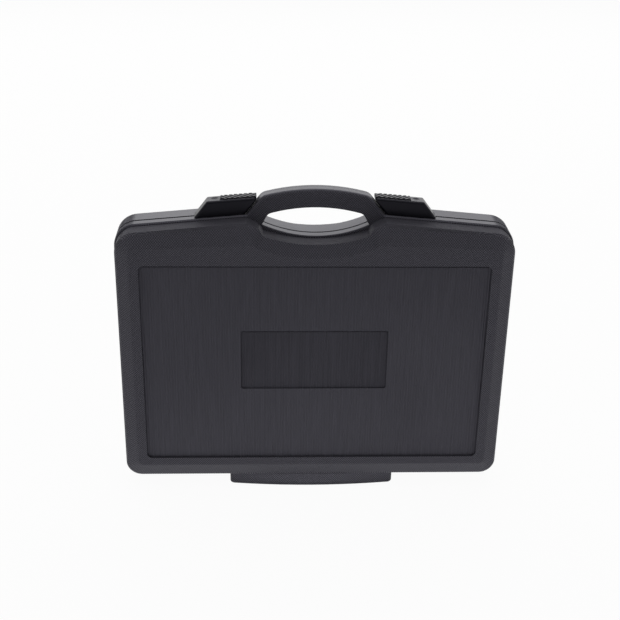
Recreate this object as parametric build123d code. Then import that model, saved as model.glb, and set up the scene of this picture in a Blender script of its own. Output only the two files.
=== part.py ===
from build123d import *
import os
from math import cos, radians, tan

# Microphone case: two moulded shells hinged in a foot and closed by two sliding latches beside
# the handle. Millimetres. The case stands on its foot: X is the width, -Y the front, Z up. The
# foot's underside is z = 0. Each shell is built in front of a parting plane at y = 0, and the
# rear one is turned over to the back. The pieces are then moved to the middle of the depth.

# ---- Shells
case_height = 319.3
body_width = 380.3
foot_height = 14.75
top_slope = 5.14
top_corner_radius = 20.6
low_corner_radius = 15.6
wall = 2.8
front_depth = 36.2
rear_depth = 33.2
parting_gap = 0.3
flange_depth = 10.2
rear_flange_depth = 20.3
flange_proud = 2.0
flange_edge = 1.3
seam_groove = 1.2
seam_groove_depth = 1.7
sill_groove = 0.5
overcut = 1.0

# ---- Bevel between the walls and the face
bevel_depth = 8.0
bevel_side = 13.5
bevel_bottom = 17.15
bevel_top = 10.8
crease_rise = 5.5
crease_radius = 5.0
crease_round = 4.0
bevel_lead = 1.6
bevel_share = 0.14

# ---- Panel and plate recessed in the face
panel_side_margin = 9.0
panel_low_margin = 8.3
panel_top_margin = 17.7
panel_recess = 2.0
panel_radius = 5.0
plate_width = 143.8
plate_height = 63.7
plate_lift = 79.2
plate_recess = 1.0
plate_radius = 2.5

# ---- Handle, hole and scoop
handle_root = 66.0
handle_knee = 51.0
handle_knee_height = 18.84
handle_rise = 7.0
handle_knee_radius = 11.0
handle_edge = 3.0
handle_rear_depth = 5.8
handle_wall = 3.8
handle_rib = 1.8
handle_rib_pitch = 22.0
handle_rib_count = 5
grip_height = 18.15
hole_top_half = 45.5
hole_low_half = 51.0
hole_shoulder_drop = 6.75
hole_low_drop = 17.25
hole_height = 28.7
hole_corner_radius = 8.0
hole_edge = 1.4
scoop_shoulder_half = 54.0
scoop_shoulder_drop = 5.3
scoop_low_half = 50.0
scoop_low_drop = 12.4
scoop_depth = 20.95
scoop_shoulder_radius = 3.0
scoop_sideways = 0.7
scoop_down = 0.8

# ---- Foot and hinge
foot_width = 168.8
foot_corner = 5.0
foot_bow = 5.5
foot_inset = 0.3
foot_edge = 2.0
foot_wall = 3.0
axis_height = 6.5
knuckle_radius = 5.8
knuckle_count = 5
knuckle_gap = 0.4
pocket_clearance = 0.45
pin_radius = 2.0
pin_clearance = 0.06
pin_edge = 0.3
plug_radius = 2.6
plug_length = 4.0
lid_angle = 110.0
notch_margin = 1.5

# ---- Seam ribs that line the shells up
rib_thickness = 1.6
rib_reach = 1.8
rib_clearance = 0.4
rib_margin = 18.0

# ---- Latches, in a frame that runs along the sloping top from the handle's root
latch_gap = 0.7
latch_length = 48.9
latch_height = 15.0
latch_depth = 16.5
latch_lift = 0.6
latch_lean = 46.3
latch_outer_lean = 47.5
latch_wall = 1.5
latch_edge = 2.4
latch_travel = 7.5
pad_length = 37.0
pad_inset = 2.6
pad_rise = 0.5
pad_edge = 0.4
grip_rib_width = 1.7
grip_rib_height = 0.6
grip_rib_pitch = 4.7
grip_rib_count = 8
grip_rib_angle = 45.0
dimple_width = 7.6
dimple_depth = 0.9
dimple_offset = 5.2
rail_clearance = 0.3
rail_web = 1.6
rail_web_height = 3.4
rail_head = 3.8
rail_head_height = 2.6
rail_offset = 3.4
rail_start = 12.0
rail_length = 28.0
claw_count = 2
claw_width = 5.0
claw_reach = 2.8
claw_pitch = 17.0
claw_start = 8.0
claw_room = 0.5
keeper_cut = 2.6
keeper_entry = 0.5
claw_room_height = 9.0

# ---- Foam
foam_gap = 0.3
foam_recess = 0.8
base_backing = 5.7
lid_backing = 4.0
lid_pad = 12.0
foam_inset = 1.0
pocket_count = 3
pocket_pitch = 68.0
pocket_margin = 52.0
pocket_lift = 26.6
pocket_length = 176.0
pocket_head = 28.0
pocket_neck = 20.0
pocket_tail = 14.0
pocket_radius = 6.0
bay_margin = 32.0
bay_width = 92.0
bay_lift = 34.6
bay_height = 150.0
bay_radius = 8.0
block_height = 58.0
block_depth = 16.0
block_slot = 12.0
block_slot_length = 38.0
block_slot_pitch = 26.0
block_slots = 3
block_floor = 2.3

# ---- Derived places
half_width = body_width / 2
climb = tan(radians(top_slope))
tilt = cos(radians(top_slope))
handle_top = case_height
knee_top = handle_top - handle_rise
root_top = knee_top - handle_knee_height
root_wall = root_top - flange_proud / tilt
shoulder = root_wall - (half_width - handle_root) * climb
peak = shoulder + half_width * climb
hole_top = handle_top - grip_height
hole_bottom = hole_top - hole_height
arch_low = hole_bottom - handle_wall
above_all = handle_top + foot_height
crease_low = foot_height + bevel_bottom
crease_high = shoulder - bevel_top
panel_low = crease_low + panel_low_margin
panel_high = crease_high - panel_top_margin
panel_width = 2 * (half_width - bevel_side - panel_side_margin)
seam = parting_gap / 2
notch_angle = lid_angle / 2 + notch_margin
pin_half = foot_width / 2 - plug_length - 2 * foam_gap
base_floor = rear_depth - panel_recess - wall
lid_floor = front_depth - panel_recess - wall
backing_face = base_floor - foam_gap - base_backing
bed_back = backing_face - foam_gap
pocket_bottom = crease_low + pocket_lift
bay_bottom = crease_low + bay_lift
bay_middle = half_width - bay_margin - bay_width / 2
parting_place = (front_depth - rear_depth) / 2


def between(sketch, y_from, y_to):
    """Extrude an X-Z outline from one depth to another."""
    return extrude(Plane.XZ.offset(-y_from) * sketch, amount=y_to - y_from, dir=(0, 1, 0))


def brick(x_range, y_range, z_range):
    """A block between two X, two Y and two Z values."""
    ranges = (x_range, y_range, z_range)
    middle = [(low + high) / 2 for low, high in ranges]
    size = [high - low for low, high in ranges]
    return Pos(*middle) * Box(*size)


def rounded_panel(width, height, bottom, radius):
    """A rounded rectangle in X-Z, centred on the middle of the case."""
    return Pos(0, bottom + height / 2) * RectangleRounded(width, height, radius)


def turned_over(shape):
    """The same shape behind the parting plane."""
    return mirror(shape, about=Plane.XZ)


def other_side(shape):
    """The same shape on the left of the case."""
    return mirror(shape, about=Plane.YZ)


# ---- Outlines in X-Z
def gable(side, low, high, crown, top_radius, low_radius):
    """A rectangle with a shallow gable on top and four rounded corners."""
    points = [(-side, low), (side, low), (side, high), (0, crown), (-side, high)]
    outline = make_face(Polyline(*points, close=True))
    outline = fillet([v for v in outline.vertices() if v.Y < low + 1], low_radius)
    return fillet([v for v in outline.vertices() if abs(v.X) > side - 1 and v.Y > high - 1], top_radius)


def body_outline(grow=0.0):
    """Outline of the walls, grown or shrunk."""
    lift = grow / tilt
    side = half_width + grow
    low = foot_height - grow
    high = shoulder + lift - grow * climb
    return gable(
        side, low, high, peak + lift, top_corner_radius + grow, low_corner_radius + grow
    )


def bevel_outline(share):
    """Outline part of the way along the bevel, from the walls to the face."""
    side = half_width - bevel_side * share
    low = foot_height + bevel_bottom * share
    crown = peak + (crease_high + crease_rise - peak) * share
    high = shoulder - bevel_top * share
    top_radius = top_corner_radius + (crease_radius - top_corner_radius) * share
    low_radius = low_corner_radius + (crease_radius - low_corner_radius) * share
    return gable(side, low, high, crown, top_radius, low_radius)


def crease_outline(grow=0.0):
    """Outline of the flat face inside the bevel, grown or shrunk."""
    side = half_width - bevel_side + grow
    high = crease_high + grow
    low = crease_low - grow
    return gable(side, low, high, high + crease_rise, crease_radius, crease_radius)


def scoop_outline(grow=0.0):
    """The hollow under the handle, down to the curved shelf below the hole."""
    drop = scoop_down * grow
    shelf = root_wall - scoop_depth - grow
    low = root_wall - scoop_low_drop - drop
    step = root_wall - scoop_shoulder_drop - drop
    low_half = scoop_low_half + scoop_sideways * grow
    step_half = scoop_shoulder_half + scoop_sideways * grow
    run_out = scoop_shoulder_drop / (handle_root - scoop_shoulder_half)
    beyond = handle_root + top_corner_radius
    edge = [
        (low_half, low),
        (step_half, step),
        (beyond, step + (beyond - step_half) * run_out),
        (beyond, above_all),
    ]
    bowl = ThreePointArc((-low_half, low), (0, shelf), (low_half, low))
    ring = [bowl, Polyline(*edge), Line((beyond, above_all), (-beyond, above_all))]
    ring.append(Polyline(*[(-x, z) for x, z in reversed(edge)]))
    outline = make_face(ring)
    shoulders = [v for v in outline.vertices() if abs(abs(v.X) - step_half) < 0.01]
    return fillet(shoulders, scoop_shoulder_radius)


def scoop_cut(start, end, grow=0.0):
    """The scoop, straight up to one depth and flared with the bevel from there on."""
    straight = Plane.XZ.offset(start) * scoop_outline(grow)
    flared = Plane.XZ.offset(end) * scoop_outline(grow + bevel_top * (end - start) / bevel_depth)
    cut = between(scoop_outline(grow), -start, 2 * overcut)
    return cut + loft([straight, flared], ruled=True)


def handle_outline():
    """The arch with its sloping legs, carried straight down into the rim."""
    arch = ThreePointArc((-handle_knee, knee_top), (0, handle_top), (handle_knee, knee_top))
    legs = Polyline(
        (handle_knee, knee_top),
        (handle_root, root_top),
        (handle_root, arch_low),
        (-handle_root, arch_low),
        (-handle_root, root_top),
        (-handle_knee, knee_top),
    )
    outline = make_face([arch, legs])
    return fillet([v for v in outline.vertices() if v.Y > knee_top - 1], handle_knee_radius)


def hole_outline():
    """The hand hole: a lens with short slanting ends."""
    high = hole_top - hole_shoulder_drop
    low = hole_top - hole_low_drop
    crown = ThreePointArc((-hole_top_half, high), (0, hole_top), (hole_top_half, high))
    right = Line((hole_top_half, high), (hole_low_half, low))
    sill = ThreePointArc((hole_low_half, low), (0, hole_bottom), (-hole_low_half, low))
    left = Line((-hole_low_half, low), (-hole_top_half, high))
    outline = make_face([crown, right, sill, left])
    return fillet([v for v in outline.vertices() if v.Y > high - 1], hole_corner_radius)


# ---- Shells
def solid_form(depth):
    """Walls and bevel of one half, with the scoop cut out of them."""
    start = depth - bevel_depth
    walls = between(body_outline(), bevel_lead - start, -seam)
    outer = Plane.XZ.offset(start - bevel_lead) * body_outline()
    middle = Plane.XZ.offset(start + bevel_share * bevel_depth) * bevel_outline(bevel_share)
    face = Plane.XZ.offset(depth) * crease_outline()
    form = walls + loft([outer, middle, face], ruled=True)
    form = fillet(form.edges().filter_by_position(Axis.Y, -depth, -depth), crease_round)
    return form - scoop_cut(start, depth + overcut)


def hollow(depth):
    """Room inside one half, down to the back of its panel."""
    floor = depth - panel_recess - wall
    start = depth - bevel_depth - panel_recess
    walls = between(body_outline(-wall), -start, overcut)
    outer = Plane.XZ.offset(start) * body_outline(-wall)
    face = Plane.XZ.offset(floor) * crease_outline(-wall)
    room = walls + loft([outer, face], ruled=True)
    return room - scoop_cut(start, depth, wall)


def flange_and_handle(reach, grip_depth):
    """The rim along the parting plane with half of the carrying handle, hole cut."""
    front = reach - flange_edge
    groove = seam + seam_groove
    rim = between(body_outline(flange_proud), -front, -groove)
    rim += between(body_outline(flange_proud - seam_groove_depth), -groove, -seam)
    wide = Plane.XZ.offset(front) * body_outline(flange_proud)
    narrow = Plane.XZ.offset(reach) * body_outline(flange_proud - flange_edge)
    rim += loft([wide, narrow], ruled=True)
    arch = between(handle_outline(), -grip_depth, -seam)
    outer = arch.edges().filter_by_position(Axis.Y, -grip_depth, -grip_depth)
    arch = fillet([e for e in outer if e.center().Z > arch_low + overcut], handle_edge)
    plate = rim + arch - between(hole_outline(), -reach - overcut, overcut)
    sill_seam = seam + sill_groove
    plate -= between(offset(hole_outline(), amount=sill_groove), -sill_seam, overcut)
    mouth = plate.edges().filter_by_position(Axis.Y, -reach, -reach)
    mouth += plate.edges().filter_by_position(Axis.Y, -grip_depth, -grip_depth)
    plate = fillet([e for e in mouth if on_hole(e)], hole_edge)
    if grip_depth < reach:
        plate -= between(slope_beside_hole(), -reach - overcut, -grip_depth)
    return plate


def slope_beside_hole():
    """What is cleared behind a thinner handle, from its roots down to the hole's ends."""
    side = [
        (hole_low_half, hole_top - hole_low_drop),
        (handle_root, root_top),
        (handle_root, above_all),
    ]
    return make_face(Polyline(*side, *[(-x, z) for x, z in reversed(side)], close=True))


def on_hole(edge):
    """Whether an edge of the front plane bounds the hand hole."""
    middle = edge @ 0.5
    inside_width = abs(middle.X) < hole_low_half + overcut
    return inside_width and hole_bottom - overcut < middle.Z < hole_top + overcut


def handle_core(reach):
    """Room inside one half of the handle, between its stiffening ribs."""
    ring = handle_outline() - hole_outline()
    above = Pos(0, root_top + above_all / 2) * Rectangle(body_width, above_all)
    core = offset(ring, amount=-handle_wall) & above
    room = between(core, -reach + handle_wall, overcut)
    first = -(handle_rib_count - 1) / 2
    for i in range(handle_rib_count):
        x = (first + i) * handle_rib_pitch
        half = handle_rib / 2
        room -= brick((x - half, x + half), (-reach, 2 * overcut), (root_top, handle_top))
    return room


# ---- Foot and hinge
def foot_form(depth):
    """One half of the foot, bowed in plan, with its lower edge rounded."""
    half = foot_width / 2
    front = -(depth - bevel_depth - foot_inset)
    bow = ThreePointArc((-half, front + foot_bow), (0, front), (half, front + foot_bow))
    ends = front + foot_bow
    back = Polyline((half, ends), (half, -seam), (-half, -seam), (-half, ends))
    plan = make_face([bow, back])
    plan = fillet([v for v in plan.vertices() if v.Y < -seam - overcut], foot_corner)
    form = extrude(plan, amount=foot_height + wall)
    low = form.edges().filter_by_position(Axis.Z, 0, 0)
    return fillet([e for e in low if e.center().Y < -seam - overcut], foot_edge)


def foot_room(depth):
    """Room inside the foot, open to the shell above and clear of the hinge."""
    half = foot_width / 2 - foot_wall - foot_corner
    front = -(depth - bevel_depth - foot_inset) + foot_bow + foot_wall
    back = -(axis_height * tan(radians(notch_angle)) + foot_wall)
    return brick((-half, half), (front, back), (foot_wall, foot_height + wall + overcut))


def hinge_bar(radius, x_from, x_to):
    """A round bar on the hinge axis between two X values."""
    bar = Plane.YZ.offset(x_from) * Circle(radius)
    return Pos(0, 0, axis_height) * extrude(bar, amount=x_to - x_from)


def knuckle_span(index):
    """The X range of one knuckle, counted from the left."""
    pitch = (foot_width - 2 * knuckle_gap) / knuckle_count
    start = -foot_width / 2 + knuckle_gap + index * pitch
    return start, start + pitch


def notch():
    """Room under the hinge axis that lets the lid swing down until the halves meet."""
    reach = (axis_height + overcut) * tan(radians(notch_angle))
    wedge = Polyline((0, axis_height), (-reach, -overcut), (0, -overcut), close=True)
    return extrude(Plane.YZ.offset(-foot_width) * make_face(wedge), amount=2 * foot_width)


def with_foot(shell, depth, own):
    """Add half of the foot, with knuckles at the given places, to one shell."""
    shell = shell + foot_form(depth) - foot_room(depth) - notch()
    for index in range(knuckle_count):
        left, right = knuckle_span(index)
        if index in own:
            shell += hinge_bar(knuckle_radius, left + knuckle_gap / 2, right - knuckle_gap / 2)
        else:
            clear = knuckle_radius + pocket_clearance
            shell -= hinge_bar(clear, left - knuckle_gap, right + knuckle_gap)
    return shell


def pin_bores():
    """The pin's bore and the two plug seats at its ends."""
    half = foot_width / 2 + overcut
    seat = pin_half + foam_gap
    bore = hinge_bar(pin_radius + pin_clearance, -half, half)
    seat_radius = plug_radius + pin_clearance
    bore += hinge_bar(seat_radius, seat, half)
    bore += hinge_bar(seat_radius, -half, -seat)
    return bore


def half_shell(depth, reach, grip_depth, own):
    """One moulded shell in front of the parting plane, with its reach of rim and of handle."""
    shell = solid_form(depth) + flange_and_handle(reach, grip_depth)
    shell = with_foot(shell, depth, own)
    panel = rounded_panel(panel_width, panel_high - panel_low, panel_low, panel_radius)
    shell -= between(panel, -depth - overcut, -depth + panel_recess)
    shell -= hollow(depth)
    shell -= foot_room(depth)
    shell -= handle_core(grip_depth)
    return shell - pin_bores()


# ---- Latch frame: x along the sloping top, z away from it
def on_rail(shape):
    """Carry a shape from the latch frame to the right-hand top edge."""
    return Pos(handle_root, 0, root_top) * Rot(0, top_slope, 0) * shape


def seam_rib(side, grow=0.0):
    """A straight rib across the seam in one side wall."""
    middle = side * (half_width - (wall - flange_proud) / 2)
    half = rib_thickness / 2 + grow
    reach = rib_reach + grow
    z_range = (crease_low + rib_margin - 2 * grow, crease_high - rib_margin + 2 * grow)
    return brick((middle - half, middle + half), (-seam - overcut, reach), z_range)


def rail():
    """T-shaped rail that carries a latch."""
    web = rail_web / 2
    head = rail_head / 2
    x_range = (rail_start, rail_start + rail_length)
    top = rail_web_height + rail_head_height
    bar = brick(x_range, (rail_offset - web, rail_offset + web), (-overcut, rail_web_height))
    bar += brick(x_range, (rail_offset - head, rail_offset + head), (rail_web_height, top))
    return bar


def claw_place(index):
    """Where a claw starts along the rail."""
    return claw_start + index * claw_pitch


def keeper_slots():
    """Keyholes in the lid's flange: a wide entry and a narrow slot for each claw."""
    front = -latch_depth / 2 + latch_wall
    slots = []
    for index in range(claw_count):
        x = claw_place(index)
        end = x + claw_width + claw_room
        narrow = (front - claw_room, front + claw_reach + claw_room)
        wide = (narrow[0] - keeper_entry, narrow[1] + keeper_entry)
        depth = (-keeper_cut, overcut)
        slots.append(brick((x - claw_room, end + latch_travel), narrow, depth))
        slots.append(brick((x + latch_travel - claw_room, end + latch_travel), wide, depth))
    return slots


def latch_body():
    """Outer form of a latch: a block that leans like the handle's leg, with rounded edges."""
    top = latch_lift + latch_height
    lean = latch_height / tan(radians(latch_lean))
    outer_lean = latch_height / tan(radians(latch_outer_lean))
    inner = latch_gap
    outer = inner + latch_length
    high = (outer - outer_lean, top)
    points = [(inner, latch_lift), (outer, latch_lift), high, (inner - lean, top)]
    half = latch_depth / 2
    body = between(make_face(Polyline(*points, close=True)), -half, half)
    return fillet([e for e in body.edges() if e.center().Z > 2 * latch_lift], latch_edge)


def grip_pad(start):
    """Raised pad with slanting ribs on the inner part of the latch's top."""
    top = latch_lift + latch_height
    level = top + pad_rise
    half = latch_depth / 2 - pad_inset
    x_range = (start + pad_inset, start + pad_length)
    pad = brick(x_range, (-half, half), (top - latch_edge, level))
    pad = fillet(pad.faces().sort_by(Axis.Z)[-1].edges(), pad_edge)
    field = brick(
        (x_range[0] + pad_edge, x_range[1] - pad_edge),
        (-half + pad_edge, half - pad_edge),
        (level - pad_edge, level + grip_rib_height),
    )
    bar = Box(grip_rib_width, 3 * latch_depth, 2 * grip_rib_height)
    middle = (x_range[0] + x_range[1]) / 2
    for index in range(grip_rib_count):
        x = middle + (index - (grip_rib_count - 1) / 2) * grip_rib_pitch
        pad += field & (Pos(x, 0, level) * Rot(0, 0, -grip_rib_angle) * bar)
    return pad


def latch():
    """One sliding latch: T-slot for its rail behind, room with the claws in front."""
    top = latch_lift + latch_height
    start = latch_gap - latch_height / tan(radians(latch_lean))
    body = latch_body() + grip_pad(start)
    bowl = (dimple_width**2 / 4 + dimple_depth**2) / (2 * dimple_depth)
    body -= Pos(start + pad_length + dimple_offset, 0, top - dimple_depth + bowl) * Sphere(bowl)
    web = rail_web / 2 + rail_clearance
    head = rail_head / 2 + rail_clearance
    run = (start, rail_start + rail_length + rail_clearance)
    head_top = rail_web_height + rail_head_height + rail_clearance
    body -= brick(run, (rail_offset - web, rail_offset + web), (0, head_top))
    head_low = rail_web_height - rail_clearance
    body -= brick(run, (rail_offset - head, rail_offset + head), (head_low, head_top))
    front = -latch_depth / 2 + latch_wall
    back = rail_offset - head - latch_wall
    claw_end = claw_place(claw_count - 1) + claw_width
    room = (claw_start - latch_wall, claw_end + latch_wall)
    body -= brick(room, (front, back), (0, claw_room_height))
    for index in range(claw_count):
        x = claw_place(index)
        y_range = (front - claw_room, front + claw_reach)
        z_range = (latch_lift, claw_room_height + overcut)
        body += brick((x, x + claw_width), y_range, z_range)
    return body


# ---- Hinge pin
def hinge_pin():
    """Steel rod through all the knuckles."""
    return chamfer(hinge_bar(pin_radius, -pin_half, pin_half).edges(), pin_edge)


def pin_plugs():
    """The two plugs that close the pin's bore."""
    plug = hinge_bar(plug_radius, pin_half + 2 * foam_gap, foot_width / 2 - foam_gap)
    return plug + other_side(plug)


# ---- Foam
def foam_outline(shrink):
    """Foam cut to the walls, with room for the scoop."""
    return body_outline(-wall - shrink) - scoop_outline(wall + shrink)


def backing_outline():
    """Foam cut to the flat behind the panel."""
    return crease_outline(-wall - foam_inset) - scoop_outline(wall + bevel_top)


def pocket_outline(index):
    """A pocket shaped for a hand microphone; every other one points down."""
    x = pocket_margin - half_width + index * pocket_pitch
    head_z = pocket_length - pocket_head
    neck_z = head_z - pocket_head
    handle = make_face(
        Polyline(
            (-pocket_tail, 0),
            (pocket_tail, 0),
            (pocket_neck, neck_z),
            (pocket_neck, head_z),
            (-pocket_neck, head_z),
            (-pocket_neck, neck_z),
            close=True,
        )
    )
    handle = fillet([v for v in handle.vertices() if v.Y < pocket_radius], pocket_radius)
    shape = handle + Pos(0, head_z) * Circle(pocket_head)
    if index % 2:
        shape = Pos(0, pocket_length) * mirror(shape, about=Plane.XZ)
    return Pos(x, pocket_bottom) * shape


def bay_outline(shrink=0.0):
    """The square bay for clips and leads."""
    width = bay_width - 2 * shrink
    height = bay_height - 2 * shrink
    middle = (bay_middle, bay_bottom + bay_height / 2)
    return Pos(*middle) * RectangleRounded(width, height, bay_radius - shrink)


def foam_bed():
    """Die-cut foam layer of the base."""
    bed = between(foam_outline(foam_gap), foam_recess, bed_back)
    for index in range(pocket_count):
        bed -= between(pocket_outline(index), 0, base_floor)
    return bed - between(bay_outline(), 0, base_floor)


def accessory_block():
    """Foam block with slots at the foot of the bay."""
    low = bay_bottom + foam_gap
    lower = Pos(bay_middle, low + block_height / 2) * Rectangle(bay_width, block_height)
    block = between(bay_outline(foam_gap) & lower, bed_back - block_depth, bed_back)
    half = block_slot / 2
    slot_low = low + (block_height - block_slot_length) / 2
    for index in range(block_slots):
        x = bay_middle + (index - (block_slots - 1) / 2) * block_slot_pitch
        z_range = (slot_low, slot_low + block_slot_length)
        block -= brick((x - half, x + half), (0, bed_back - block_floor), z_range)
    return block


def lid_foam(start, thickness):
    """A foam sheet in the lid that ends a given distance from its floor."""
    deep = -(lid_floor - start)
    return between(backing_outline(), deep, deep + thickness)


# ---- Pieces
def front_shell():
    """Lid half: plate recess, keeper slots and seam ribs."""
    own = range(1, knuckle_count, 2)
    shell = half_shell(front_depth, flange_depth, flange_depth, own)
    plate = rounded_panel(plate_width, plate_height, panel_low + plate_lift, plate_radius)
    deep = panel_recess + plate_recess
    shell -= between(plate, -front_depth - overcut, -front_depth + deep)
    for slot in keeper_slots():
        placed = on_rail(slot)
        shell = shell - placed - other_side(placed)
    return shell + seam_rib(1) + seam_rib(-1)


def rear_shell():
    """Base half: rails and seam grooves."""
    own = range(0, knuckle_count, 2)
    shell = turned_over(half_shell(rear_depth, rear_flange_depth, handle_rear_depth, own))
    placed = on_rail(rail())
    shell = shell + placed + other_side(placed)
    return shell - seam_rib(1, rib_clearance) - seam_rib(-1, rib_clearance)


right_latch = on_rail(latch())
pieces = {
    "front_shell": front_shell(),
    "rear_shell": rear_shell(),
    "latch_right": right_latch,
    "latch_left": other_side(right_latch),
    "hinge_pin": hinge_pin(),
    "hinge_pin_plugs": pin_plugs(),
    "base_foam_backing": between(backing_outline(), backing_face, base_floor - foam_gap),
    "base_foam_bed": foam_bed(),
    "accessory_foam_block": accessory_block(),
    "lid_foam_backing": lid_foam(foam_gap, lid_backing),
    "lid_foam_pad": lid_foam(2 * foam_gap + lid_backing, lid_pad),
}

os.makedirs("parts", exist_ok=True)
for name, shape in pieces.items():
    export_step(Pos(0, parting_place, 0) * shape, f"parts/{name}.step")
    print(name, len(shape.solids()), round(shape.volume))
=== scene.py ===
"""Microphone case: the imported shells, latches and hinge get their moulded finishes, and the foam
inside is modelled here. Metres, in the model's own frame: -Y is the front and Z is up."""

import math

import bmesh
import bpy
from mathutils import Matrix, Vector

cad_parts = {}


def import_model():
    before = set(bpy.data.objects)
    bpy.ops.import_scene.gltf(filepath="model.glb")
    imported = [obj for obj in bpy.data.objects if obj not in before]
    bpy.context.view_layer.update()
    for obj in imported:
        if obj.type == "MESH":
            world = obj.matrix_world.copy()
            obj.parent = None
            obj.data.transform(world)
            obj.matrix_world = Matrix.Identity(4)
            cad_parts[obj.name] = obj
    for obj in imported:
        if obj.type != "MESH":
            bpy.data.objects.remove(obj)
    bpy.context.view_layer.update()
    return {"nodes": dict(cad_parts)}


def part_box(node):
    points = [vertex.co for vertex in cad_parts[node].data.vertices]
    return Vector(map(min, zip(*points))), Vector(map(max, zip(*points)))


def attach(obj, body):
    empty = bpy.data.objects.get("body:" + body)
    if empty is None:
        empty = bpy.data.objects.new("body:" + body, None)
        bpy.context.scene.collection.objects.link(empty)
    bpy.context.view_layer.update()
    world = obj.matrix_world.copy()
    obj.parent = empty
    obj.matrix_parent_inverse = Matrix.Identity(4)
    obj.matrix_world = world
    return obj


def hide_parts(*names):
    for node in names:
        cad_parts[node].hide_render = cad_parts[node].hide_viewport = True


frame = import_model()

MM = 0.001
PARTING = 1.5 * MM
FACE = 34.7 * MM
COOL_SHINE = (0.85, 0.83, 1.0, 1)
NOISE_SPAN = (0.3, 0.7)  # where most of a noise lies


# ---- Small helpers for shader nodes
class Nodes:
    """A node tree, with short ways to add and join nodes."""

    def __init__(self, name):
        self.material = bpy.data.materials.new(name)
        self.material.use_nodes = True
        self.tree = self.material.node_tree
        self.shader = self.tree.nodes["Principled BSDF"]

    @classmethod
    def of(cls, tree):
        """The same short ways for a node tree that is there already."""
        nodes = cls.__new__(cls)
        nodes.tree = tree
        return nodes

    def add(self, kind, **settings):
        node = self.tree.nodes.new(kind)
        for key, value in settings.items():
            setattr(node, key, value)
        return node

    def join(self, out, into):
        self.tree.links.new(out, into)

    def feed(self, socket, value):
        """Link a socket, or set it to a plain value."""
        if isinstance(value, bpy.types.NodeSocket):
            self.join(value, socket)
        else:
            socket.default_value = value

    def shade(self, name, value):
        """Link or set one of the shader's own sockets."""
        self.feed(self.shader.inputs[name], value)

    def math(self, operation, a, b):
        node = self.add("ShaderNodeMath", operation=operation)
        self.feed(node.inputs[0], a)
        self.feed(node.inputs[1], b)
        return node.outputs[0]

    def plus(self, a, b):
        return self.math("ADD", a, b)

    def minus(self, a, b):
        return self.math("SUBTRACT", a, b)

    def times(self, a, b):
        return self.math("MULTIPLY", a, b)

    def most(self, a, b):
        return self.math("MAXIMUM", a, b)

    def absolute(self, value):
        return self.math("ABSOLUTE", value, 0.0)

    def ramp(self, value, low, high, to_low=0.0, to_high=1.0):
        """A smooth step from one value at the low limit to another at the high one."""
        node = self.add("ShaderNodeMapRange", interpolation_type="SMOOTHSTEP")
        for socket, number in zip(node.inputs, (value, low, high, to_low, to_high)):
            self.feed(socket, number)
        return node.outputs[0]

    def noise(self, vector, scale, detail=3.0, roughness=0.5):
        node = self.add("ShaderNodeTexNoise")
        self.join(vector, node.inputs["Vector"])
        node.inputs["Scale"].default_value = scale
        node.inputs["Detail"].default_value = detail
        node.inputs["Roughness"].default_value = roughness
        return node.outputs["Fac"]

    def stretched(self, vector, scale):
        node = self.add("ShaderNodeVectorMath", operation="MULTIPLY")
        self.join(vector, node.inputs[0])
        node.inputs[1].default_value = scale
        return node.outputs[0]

    def mix(self, factor, a, b):
        """A number between two others."""
        node = self.add("ShaderNodeMix", data_type="FLOAT")
        self.feed(node.inputs["Factor"], factor)
        self.feed(node.inputs["A"], a)
        self.feed(node.inputs["B"], b)
        return node.outputs["Result"]

    def blend(self, factor, a, b):
        """A colour between two others."""
        node = self.add("ShaderNodeMix", data_type="RGBA")
        self.feed(node.inputs["Factor"], factor)
        self.feed(node.inputs[6], a)
        self.feed(node.inputs[7], b)
        return node.outputs[2]

    def bump(self, height, strength, distance):
        node = self.add("ShaderNodeBump")
        node.inputs["Strength"].default_value = strength
        node.inputs["Distance"].default_value = distance
        self.join(height, node.inputs["Height"])
        return node.outputs["Normal"]


def split(n, vector):
    """The X, Y and Z of a vector, as sockets."""
    node = n.add("ShaderNodeSeparateXYZ")
    n.join(vector, node.inputs[0])
    return node.outputs[0], node.outputs[1], node.outputs[2]


def wave(n, value, pitch):
    """A cosine of that pitch, from -1 to 1."""
    return n.math("COSINE", n.times(value, 2 * math.pi / pitch), 0.0)


EDGE_SOFT = 0.2 * MM


def inside(n, value, low, high, soft=EDGE_SOFT):
    """1 where the value lies between two limits."""
    above = n.ramp(value, low - soft, low + soft)
    below = n.ramp(value, high - soft, high + soft, 1.0, 0.0)
    return n.times(above, below)


# ---- Moulded shells
# Places and pitches
KNURL_PITCH = 2.4 * MM
RIB_PITCH = 2.6 * MM
PANEL = (-0.16765, 0.16765, 0.0402, 0.25178)
PANEL_DEPTHS = (FACE - 5.5 * MM, FACE - 0.5 * MM)
PLATE = (-0.0719, 0.0719, 0.1194, 0.1831)
PLATE_AT = 2.5 * MM - FACE
EDGE_CURVE = (1.8 * MM, 0.1 * MM)
RIM = (PARTING - 10.0 * MM, PARTING + 20.1 * MM)
RIM_END = (171.0 * MM, 178.0 * MM)
GROOVE = (PARTING - 1.35 * MM, PARTING + 1.35 * MM)
GROOVE_END = (293.0 * MM, 293.5 * MM)
FOOT_END = (13.75 * MM, 14.75 * MM)

# How far a surface turns towards Y, X or Z before it counts as facing that way
FACING_Y = (0.55, 0.75)
FACING_X = (0.6, 0.8)
RIM_FACING = (0.6, 0.85)
FACING_UP = (0.6, 0.9)

# Pattern, bump and painted edge highlight
KNURL_FLANK = (0.15, 0.95)
STREAK_SHAPE = (1.0, 1.0, 0.03)
STREAK_SHARE = 0.65
RIM_PATTERN = 0.35
PATTERN_SHARE = 0.75
GRAIN_HEIGHT = 0.25
EDGE_DROP = 2.6
# How much of the painted highlight the panel's upper edge gets
PANEL_EDGE_LIGHT_SHARE = 0.4
SHELL_BUMP = 0.6 * MM
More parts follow.
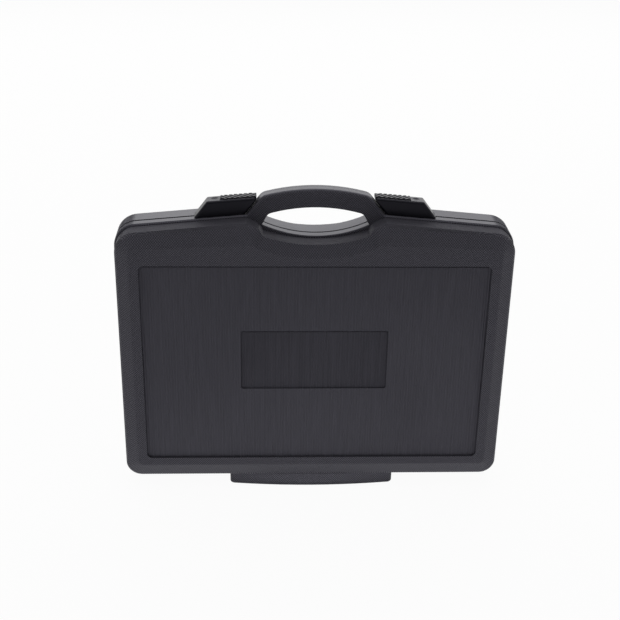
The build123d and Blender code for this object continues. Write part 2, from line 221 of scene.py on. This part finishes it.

# Colours and roughness
# The knurl's and ribs' colours follow their pattern: painted shade in the grooves
KNURL_DARK, KNURL_LIGHT = (0.0, 0.0, 0.0, 1), (0.054, 0.0524, 0.0637, 1)
RIM_DARK = (0.003, 0.003, 0.004, 1)
RIB_LIGHT = (0.024, 0.023, 0.029, 1)
# Painted highlight along the upper edges of the panel and of the plate
EDGE_PAINTED_LIGHT = (0.18, 0.176, 0.208, 1)
# Painted light from below: the foot's paler colour
FOOT_PAINTED_LIGHT = (0.14, 0.137, 0.162, 1)
SATIN_ROUGH, MATT_ROUGH = 0.6, 0.74
PLATE_MATT = 0.95
KNURL_ROUGH = 0.25
RIM_ROUGH, GROOVE_ROUGH = 0.42, 0.8
CLOUD_ROUGH = (-0.02, 0.04)
SHELL_IOR = 1.53


def zone(n, x, z, edges):
    """1 within a rectangle of the face."""
    left, right, low, high = edges
    return n.times(inside(n, x, left, right), inside(n, z, low, high))


def panel_zone(n, x, y, z):
    """1 on the floor of the wide recess in a shell's face."""
    return n.times(zone(n, x, z, PANEL), inside(n, n.absolute(y), *PANEL_DEPTHS))


def plate_zone(n, x, y, z, ribbed):
    """1 on the floor of the plate's recess in front, and also in the same rectangle of the rear
    panel, which has no recess."""
    deep = n.ramp(y, PLATE_AT - EDGE_SOFT, PLATE_AT + EDGE_SOFT)
    return n.times(n.times(zone(n, x, z, PLATE), ribbed), deep)


def rim_zone(n, x, y, ny):
    """1 on the smooth rim on both sides of the seam, but not round the ends of the case."""
    edgewise = n.ramp(n.absolute(ny), *RIM_FACING, 1.0, 0.0)
    rim = n.times(inside(n, y, *RIM), edgewise)
    return n.times(rim, n.ramp(n.absolute(x), *RIM_END, 1.0, 0.0))


def top_edge(n, z, edges):
    """1 where the floor of a recess curves up to its upper edge."""
    below_top, at_top = EDGE_CURVE
    return n.ramp(z, edges[3] - below_top, edges[3] - at_top)


def knurl(n, x, y, z, nx, ny):
    """Rows of small diamonds, laid on each side of the shell along its own two directions."""
    flat_y = n.ramp(n.absolute(ny), *FACING_Y)
    side_x = n.ramp(n.absolute(nx), *FACING_X)
    u = n.mix(side_x, x, y)
    v = n.mix(flat_y, n.mix(side_x, y, z), z)
    first = wave(n, n.plus(u, v), KNURL_PITCH)
    second = wave(n, n.minus(u, v), KNURL_PITCH)
    dots = n.times(n.plus(first, second), 0.25)
    return n.ramp(n.plus(dots, 0.5), *KNURL_FLANK)


def upright_ribs(n, at, x):
    """Fine ribs up the panel, broken up by streaks."""
    ribs = n.times(n.plus(wave(n, x, RIB_PITCH), 1.0), 0.5)
    streaks = n.noise(n.stretched(at, STREAK_SHAPE), scale=520.0, detail=4.0, roughness=0.7)
    return n.mix(STREAK_SHARE, ribs, n.ramp(streaks, *NOISE_SPAN))


def shell_material(name):
    """Black plastic: knurled outside, with fine upright ribs on the panel and a smooth rim."""
    n = Nodes(name)
    place = n.add("ShaderNodeTexCoord")
    at = place.outputs["Object"]
    x, y, z = split(n, at)
    nx, ny, nz = split(n, place.outputs["Normal"])
    ribbed = panel_zone(n, x, y, z)
    plate = plate_zone(n, x, y, z, ribbed)
    smooth = rim_zone(n, x, y, ny)
    grain = n.noise(at, scale=900.0, detail=2.0)
    cloud = n.noise(at, scale=9.0)

    # Pattern, and the rounded upper edges of the panel and of the plate
    pattern = n.mix(ribbed, knurl(n, x, y, z, nx, ny), upright_ribs(n, at, x))
    pattern = n.mix(smooth, pattern, RIM_PATTERN)
    panel_top = n.times(ribbed, top_edge(n, z, PANEL))
    plate_top = n.times(plate, top_edge(n, z, PLATE))
    height = n.plus(pattern, n.times(grain, GRAIN_HEIGHT))
    height = n.minus(height, n.times(n.most(panel_top, plate_top), EDGE_DROP))
    n.shade("Normal", n.bump(height, 1.0, SHELL_BUMP))

    # Colour: painted highlight along the upper edges, painted light from below on the foot
    painted_edge_light = n.most(n.times(panel_top, PANEL_EDGE_LIGHT_SHARE), plate_top)
    dark = n.blend(painted_edge_light, n.blend(smooth, KNURL_DARK, RIM_DARK), EDGE_PAINTED_LIGHT)
    light = n.blend(painted_edge_light, n.blend(ribbed, KNURL_LIGHT, RIB_LIGHT), EDGE_PAINTED_LIGHT)
    # Painted light from below makes the foot paler
    light = n.blend(n.ramp(z, *FOOT_END, 1.0, 0.0), light, FOOT_PAINTED_LIGHT)
    # Painted shade: the pattern's grooves darker, its crests paler, mixed with a random cloud
    tone = n.plus(n.times(pattern, PATTERN_SHARE), n.times(cloud, 1.0 - PATTERN_SHARE))
    n.shade("Base Color", n.blend(tone, dark, light))

    # Roughness: the plate and what faces up are more matt, the rim shines and its groove doesn't
    matt = n.most(n.ramp(nz, *FACING_UP), n.times(plate, PLATE_MATT))
    grained = n.times(n.minus(1.0, ribbed), n.minus(0.5, pattern))
    rough = n.plus(n.mix(matt, SATIN_ROUGH, MATT_ROUGH), n.times(grained, KNURL_ROUGH))
    groove = n.times(inside(n, y, *GROOVE), smooth)
    groove = n.times(groove, n.ramp(z, *GROOVE_END, 1.0, 0.0))
    rough = n.mix(smooth, rough, n.mix(groove, RIM_ROUGH, GROOVE_ROUGH))
    n.shade("Roughness", n.plus(rough, n.ramp(cloud, *NOISE_SPAN, *CLOUD_ROUGH)))
    n.shade("IOR", SHELL_IOR)
    n.shade("Specular Tint", COOL_SHINE)
    return n.material


# ---- Latches and hinge pin
TOP_SLOPE = math.radians(5.14)
RAIL_START = (66.0 * MM, 293.46 * MM)
PAD_GAP = (15.8 * MM, 16.45 * MM)
PAD_GAP_SOFT = 0.1 * MM
LATCH_TOP_FACING = (0.8, 0.95)
LATCH_DARK, LATCH_LIGHT = (0.004, 0.004, 0.0055, 1), (0.0075, 0.0073, 0.0095, 1)
# Painted highlight on the upward faces of the latches and plugs
LATCH_TOP_PAINTED_LIGHT = (0.035, 0.0345, 0.041, 1)
LATCH_ROUGH = (0.26, 0.34)
PAD_GAP_ROUGH = 0.8
LATCH_IOR = 1.24
LATCH_BUMP = 0.05 * MM

PIN_LINES = (0.02, 1.0, 1.0)
PIN_DARK, PIN_LIGHT = (0.42, 0.42, 0.43, 1), (0.6, 0.6, 0.61, 1)
PIN_ROUGH = (0.25, 0.42)
PIN_BUMP = 0.03 * MM


def pad_gaps(n, x, z):
    """1 at the height above the sloping rails where the thumb pad's ribs have their gaps."""
    along = n.minus(n.absolute(x), RAIL_START[0])
    above = n.times(n.minus(z, RAIL_START[1]), math.cos(TOP_SLOPE))
    above = n.plus(above, n.times(along, math.sin(TOP_SLOPE)))
    return inside(n, above, *PAD_GAP, PAD_GAP_SOFT)


def latch_material():
    """Smoother, darker plastic, soft shine, matt in the pad's gaps, painted highlight on top."""
    n = Nodes("latch_plastic")
    place = n.add("ShaderNodeTexCoord")
    at = place.outputs["Object"]
    x, _, z = split(n, at)
    upward = n.ramp(split(n, place.outputs["Normal"])[2], *LATCH_TOP_FACING)
    gaps = pad_gaps(n, x, z)
    grain = n.noise(at, scale=1400.0, detail=2.0)
    cloud = n.noise(at, scale=40.0)
    # Painted highlight on the upward faces, outside the pad's gaps
    painted_top_light = n.times(upward, n.minus(1.0, gaps))
    n.shade("Base Color", n.blend(painted_top_light, n.blend(cloud, LATCH_DARK, LATCH_LIGHT), LATCH_TOP_PAINTED_LIGHT))
    n.shade("Roughness", n.mix(gaps, n.ramp(cloud, *NOISE_SPAN, *LATCH_ROUGH), PAD_GAP_ROUGH))
    n.shade("IOR", LATCH_IOR)
    n.shade("Specular Tint", COOL_SHINE)
    n.shade("Normal", n.bump(grain, 0.15, LATCH_BUMP))
    return n.material


def steel_material():
    """Drawn wire: fine lines along the pin."""
    n = Nodes("pin_steel")
    at = n.add("ShaderNodeTexCoord").outputs["Object"]
    lines = n.noise(n.stretched(at, PIN_LINES), scale=2500.0)
    n.shade("Metallic", 1.0)
    n.shade("Base Color", n.blend(lines, PIN_DARK, PIN_LIGHT))
    n.shade("Roughness", n.ramp(lines, *NOISE_SPAN, *PIN_ROUGH))
    n.shade("Normal", n.bump(lines, 0.2, PIN_BUMP))
    return n.material


def dress(node, material):
    """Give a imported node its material."""
    obj = frame["nodes"][node]
    obj.data.materials.clear()
    obj.data.materials.append(material)


dress("front_shell", shell_material("front_plastic"))
dress("rear_shell", shell_material("rear_plastic"))
for node in ("latch_left", "latch_right", "hinge_pin_plugs"):
    dress(node, latch_material())
dress("hinge_pin", steel_material())


# ---- Foam pieces
EGG_PITCH = 23.0 * MM
EGG_BASE = 4.0 * MM
EGG_SHARPNESS = 1.15
EGG_INSET = 0.02 * MM
EGG_COLUMNS, EGG_ROWS = 150, 100
CUT_ROUND = 0.9 * MM
BLOCK_BACK = 2.3 * MM
BLOCK_BACK_ROUND = 0.3 * MM
SMOOTH_ANGLE = math.radians(40)
WELD = 0.001 * MM
DEPTH_SLACK = 0.02 * MM

DENSE_DARK, DENSE_LIGHT = (0.010, 0.010, 0.0115, 1), (0.034, 0.034, 0.037, 1)
SOFT_DARK, SOFT_LIGHT = (0.013, 0.013, 0.015, 1), (0.042, 0.042, 0.046, 1)
PORE_SCALE = 950.0
PORE_SPAN = (0.1, 0.55)
PORE_HEIGHT, NAP_HEIGHT = 0.7, 0.5
HEIGHT_SHARE = 0.6
FOAM_ROUGH = (0.88, 1.0)
FOAM_IOR = 1.2
FOAM_SHEEN = 0.15
FOAM_BUMP = 0.6 * MM


def foam_material(name, dark, light):
    """Open-cell foam: pores, a soft nap and slightly uneven dye."""
    n = Nodes(name)
    at = n.add("ShaderNodeTexCoord").outputs["Object"]
    cells = n.add("ShaderNodeTexVoronoi")
    n.join(at, cells.inputs["Vector"])
    cells.inputs["Scale"].default_value = PORE_SCALE
    pores = n.ramp(cells.outputs["Distance"], *PORE_SPAN)
    nap = n.noise(at, scale=2600.0)
    cloud = n.noise(at, scale=14.0, detail=4.0)
    height = n.plus(n.times(pores, PORE_HEIGHT), n.times(nap, NAP_HEIGHT))
    tone = n.plus(n.times(height, HEIGHT_SHARE), n.times(cloud, 1.0 - HEIGHT_SHARE))
    n.shade("Base Color", n.blend(tone, dark, light))
    n.shade("Roughness", n.ramp(nap, *NOISE_SPAN, *FOAM_ROUGH))
    n.shade("IOR", FOAM_IOR)
    n.shade("Sheen Weight", FOAM_SHEEN)
    n.shade("Normal", n.bump(height, 1.0, FOAM_BUMP))
    return n.material


def face_loops(node, depth):
    """The outlines, as X-Z points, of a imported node's flat face at that depth."""
    bm = bmesh.new()
    bm.from_mesh(frame["nodes"][node].data)
    bmesh.ops.remove_doubles(bm, verts=bm.verts, dist=WELD)
    flat = {f for f in bm.faces if all(abs(v.co.y - depth) < DEPTH_SLACK for v in f.verts)}
    rim = [e for e in bm.edges if sum(f in flat for f in e.link_faces) == 1]
    around = {}
    for edge in rim:
        for vert in edge.verts:
            around.setdefault(vert, []).append(edge)
    loops, left = [], set(rim)
    while left:
        edge = next(e for e in rim if e in left)
        vert, loop = edge.verts[0], []
        while edge in left:
            left.remove(edge)
            loop.append((vert.co.x, vert.co.z))
            vert = edge.other_vert(vert)
            edge = next((e for e in around[vert] if e in left), edge)
        loops.append(loop)
    bm.free()
    return loops


def cut_sheet(name, loops, near, far, rounding=CUT_ROUND):
    """A flat foam layer with those outlines between two depths, its cut edges softened."""
    data = bpy.data.curves.new(name, "CURVE")
    data.dimensions = "2D"
    data.fill_mode = "BOTH"
    for loop in loops:
        spline = data.splines.new("POLY")
        spline.points.add(len(loop) - 1)
        for point, (x, z) in zip(spline.points, loop):
            point.co = (x, z, 0.0, 1.0)
        spline.use_cyclic_u = True
    data.extrude = (far - near) / 2 - rounding
    data.bevel_depth = rounding
    data.bevel_resolution = 2
    data.offset = -rounding
    shape = bpy.data.objects.new(name + "_outline", data)
    mesh = bpy.data.meshes.new_from_object(shape)
    upright = Matrix.Rotation(math.pi / 2, 4, "X")
    mesh.transform(Matrix.Translation((0, (near + far) / 2, 0)) @ upright)
    bpy.data.objects.remove(shape)
    return mesh


def foam_piece(name, mesh, material, node, body):
    """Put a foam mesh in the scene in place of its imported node."""
    mesh.name = name
    for face in mesh.polygons:
        face.use_smooth = True
    mesh.set_sharp_from_angle(angle=SMOOTH_ANGLE)
    mesh.materials.clear()
    mesh.materials.append(material)
    obj = bpy.data.objects.new(name, mesh)
    bpy.context.scene.collection.objects.link(obj)
    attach(obj, body)
    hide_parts(node)


def node_depths(node):
    """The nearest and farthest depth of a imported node."""
    low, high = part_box(node)
    return low[1], high[1]


def span_at(loop, x):
    """The lowest and highest Z where a closed outline crosses that X."""
    hits = []
    for (ax, az), (bx, bz) in zip(loop, loop[1:] + loop[:1]):
        if (ax - x) * (bx - x) <= 0 and ax != bx:
            hits.append(az + (bz - az) * (x - ax) / (bx - ax))
    return min(hits), max(hits)


def egg_crate(loop, back, front):
    """A closed sheet with rows of soft peaks towards the front."""
    columns, rows = EGG_COLUMNS, EGG_ROWS
    left = min(p[0] for p in loop) + EGG_INSET
    right = max(p[0] for p in loop) - EGG_INSET
    xs = [left + (right - left) * i / columns for i in range(columns + 1)]
    bm = bmesh.new()
    grid, flat = [], []
    rise = front - back - EGG_BASE
    turn = 2 * math.pi / EGG_PITCH
    for x in xs:
        low, high = span_at(loop, x)
        top, under = [], []
        for j in range(rows + 1):
            z = low + (high - low) * j / rows
            peak = 0.5 + 0.5 * math.sin(turn * x) * math.sin(turn * z)
            top.append(bm.verts.new((x, back + EGG_BASE + rise * peak**EGG_SHARPNESS, z)))
            border = j in (0, rows) or x in (xs[0], xs[-1])
            under.append(bm.verts.new((x, back, z)) if border else None)
        grid.append(top)
        flat.append(under)
    for i in range(columns):
        for j in range(rows):
            bm.faces.new((grid[i][j], grid[i][j + 1], grid[i + 1][j + 1], grid[i + 1][j]))
    ring = [(i, 0) for i in range(columns)] + [(columns, j) for j in range(rows)]
    ring += [(i, rows) for i in range(columns, 0, -1)] + [(0, j) for j in range(rows, 0, -1)]
    for (i, j), (k, m) in zip(ring, ring[1:] + ring[:1]):
        bm.faces.new((grid[i][j], grid[k][m], flat[k][m], flat[i][j]))
    bm.faces.new([flat[i][j] for i, j in ring])
    bmesh.ops.recalc_face_normals(bm, faces=bm.faces)
    mesh = bpy.data.meshes.new("egg_crate")
    bm.to_mesh(mesh)
    bm.free()
    return mesh


def slotted_block(node):
    """The block's slotted front part on its closed back sheet."""
    near, far = node_depths(node)
    floor_at = far - BLOCK_BACK
    front = cut_sheet("block_front", face_loops(node, near), near, floor_at)
    outline = max(face_loops(node, far), key=len)
    back = cut_sheet("block_back", [outline], floor_at, far, BLOCK_BACK_ROUND)
    bm = bmesh.new()
    bm.from_mesh(front)
    bm.from_mesh(back)
    mesh = bpy.data.meshes.new("slotted_block")
    bm.to_mesh(mesh)
    bm.free()
    return mesh


def foam():
    """The base's die-cut bed, its slotted block, the backing sheets and the lid's pad."""
    dense = foam_material("foam_dense", DENSE_DARK, DENSE_LIGHT)
    soft = foam_material("foam_soft", SOFT_DARK, SOFT_LIGHT)
    for node, body in (("base_foam_backing", "base"), ("lid_foam_backing", "lid")):
        near, far = node_depths(node)
        mesh = cut_sheet(node, face_loops(node, near), near, far)
        foam_piece(node.replace("foam", "sheet"), mesh, dense, node, body)
    near, far = node_depths("base_foam_bed")
    mesh = cut_sheet("bed", face_loops("base_foam_bed", near), near, far)
    foam_piece("base_bed_foam", mesh, soft, "base_foam_bed", "base")
    mesh = slotted_block("accessory_foam_block")
    foam_piece("accessory_block_foam", mesh, soft, "accessory_foam_block", "base")
    back, front = node_depths("lid_foam_pad")
    outline = face_loops("lid_foam_pad", back)[0]
    foam_piece("lid_egg_crate", egg_crate(outline, back, front), soft, "lid_foam_pad", "lid")


foam()


# ---- Floor, world, lamps and camera
FLOOR_SIZE = 40.0
FLOOR_COLOUR = (0.96, 0.96, 0.96, 1)
FLOOR_GLOW = 0.95
SKY_FILL = 0.4
ROOM_LEVEL = 0.3
ROOM_AHEAD = (-0.95, -0.35)

PHOTO_PIXELS = 620
FOCAL_PIXELS = 1141.3
SENSOR_WIDTH = 36.0
CAMERA_ANGLES = (25.279, 2.539, 1.056)
CAMERA_PLACE = (-0.005067, -0.990745, 0.658067)
CAMERA_ORIGIN = (0, -FACE, 0.0163)


def seen(n):
    """1 for rays from the camera, a mirror or glass, which show the white studio itself."""
    path = n.add("ShaderNodeLightPath")
    first = n.most(path.outputs["Is Camera Ray"], path.outputs["Is Glossy Ray"])
    return n.most(first, path.outputs["Is Transmission Ray"])


def floor():
    """Pale floor that keeps the case's shadow."""
    bpy.ops.mesh.primitive_plane_add(size=FLOOR_SIZE)
    obj = bpy.context.object
    obj.name = "floor"
    n = Nodes("floor_white")
    n.shade("Base Color", FLOOR_COLOUR)
    n.shade("Roughness", 0.9)
    n.shade("Specular IOR Level", 0.0)
    glow = n.add("ShaderNodeEmission")
    both = n.add("ShaderNodeMixShader")
    n.feed(both.inputs[0], n.times(seen(n), FLOOR_GLOW))
    n.join(n.shader.outputs[0], both.inputs[1])
    n.join(glow.outputs[0], both.inputs[2])
    n.join(both.outputs[0], n.tree.nodes["Material Output"].inputs["Surface"])
    obj.data.materials.append(n.material)


def world():
    """White to look at, with a white wall behind the case and a dimmer room in front of it."""
    sky = bpy.data.worlds.new("studio")
    bpy.context.scene.world = sky
    sky.use_nodes = True
    n = Nodes.of(sky.node_tree)
    path = n.add("ShaderNodeLightPath")
    ahead = split(n, n.add("ShaderNodeTexCoord").outputs["Generated"])[1]
    room = n.ramp(ahead, *ROOM_AHEAD, ROOM_LEVEL, 1.0)
    fill = n.times(room, n.mix(path.outputs["Is Diffuse Ray"], 1.0, SKY_FILL))
    level = n.mix(path.outputs["Is Camera Ray"], fill, 1.0)
    n.join(level, n.tree.nodes["Background"].inputs["Strength"])
    n.tree.nodes["Background"].inputs["Color"].default_value = (1, 1, 1, 1)


def panel_lamp(name, place, aim, size, watts, diffuse, specular):
    """A soft rectangular lamp that the camera doesn't see."""
    data = bpy.data.lights.new(name, "AREA")
    data.shape = "RECTANGLE"
    data.size, data.size_y = size
    data.energy = watts
    data.diffuse_factor = diffuse
    data.specular_factor = specular
    obj = bpy.data.objects.new(name, data)
    bpy.context.scene.collection.objects.link(obj)
    obj.location = place
    obj.rotation_euler = (Vector(aim) - Vector(place)).to_track_quat("-Z", "Y").to_euler()
    obj.visible_camera = False


def lamps():
    """A broad panel behind and above the case, one over its front and one low before it."""
    panel_lamp(
        "back_panel", place=(0, 2.0, 1.45), aim=(0, 0, 0.2), size=(3.6, 2.2),
        watts=24.0, diffuse=0.2, specular=1.0,
    )
    panel_lamp(
        "top_panel", place=(0, -0.5, 2.2), aim=(0, 0, 0.1), size=(2.0, 1.6),
        watts=8.0, diffuse=1.0, specular=0.2,
    )
    panel_lamp(
        "low_panel", place=(0, -0.168, 0.003), aim=(0, -0.168, 1.0), size=(2.0, 0.28),
        watts=0.8, diffuse=1.0, specular=1.0,
    )


def camera():
    """The photograph's viewpoint, fitted to the case's edges."""
    pitch, yaw, roll = (math.radians(a) for a in CAMERA_ANGLES)
    data = bpy.data.cameras.new("camera")
    data.sensor_width = SENSOR_WIDTH
    data.lens = FOCAL_PIXELS / PHOTO_PIXELS * SENSOR_WIDTH
    data.clip_end = 100.0
    obj = bpy.data.objects.new("camera", data)
    bpy.context.scene.collection.objects.link(obj)
    turn = Matrix.Rotation(-yaw, 4, "Z")
    tilt = Matrix.Rotation(math.radians(90) - pitch, 4, "X") @ Matrix.Rotation(roll, 4, "Z")
    stand = Matrix.Translation(CAMERA_ORIGIN) @ turn @ Matrix.Translation(CAMERA_PLACE)
    obj.matrix_world = stand @ tilt
    bpy.context.scene.camera = obj


floor()
world()
lamps()
camera()
bpy.context.scene.view_settings.view_transform = "Standard"
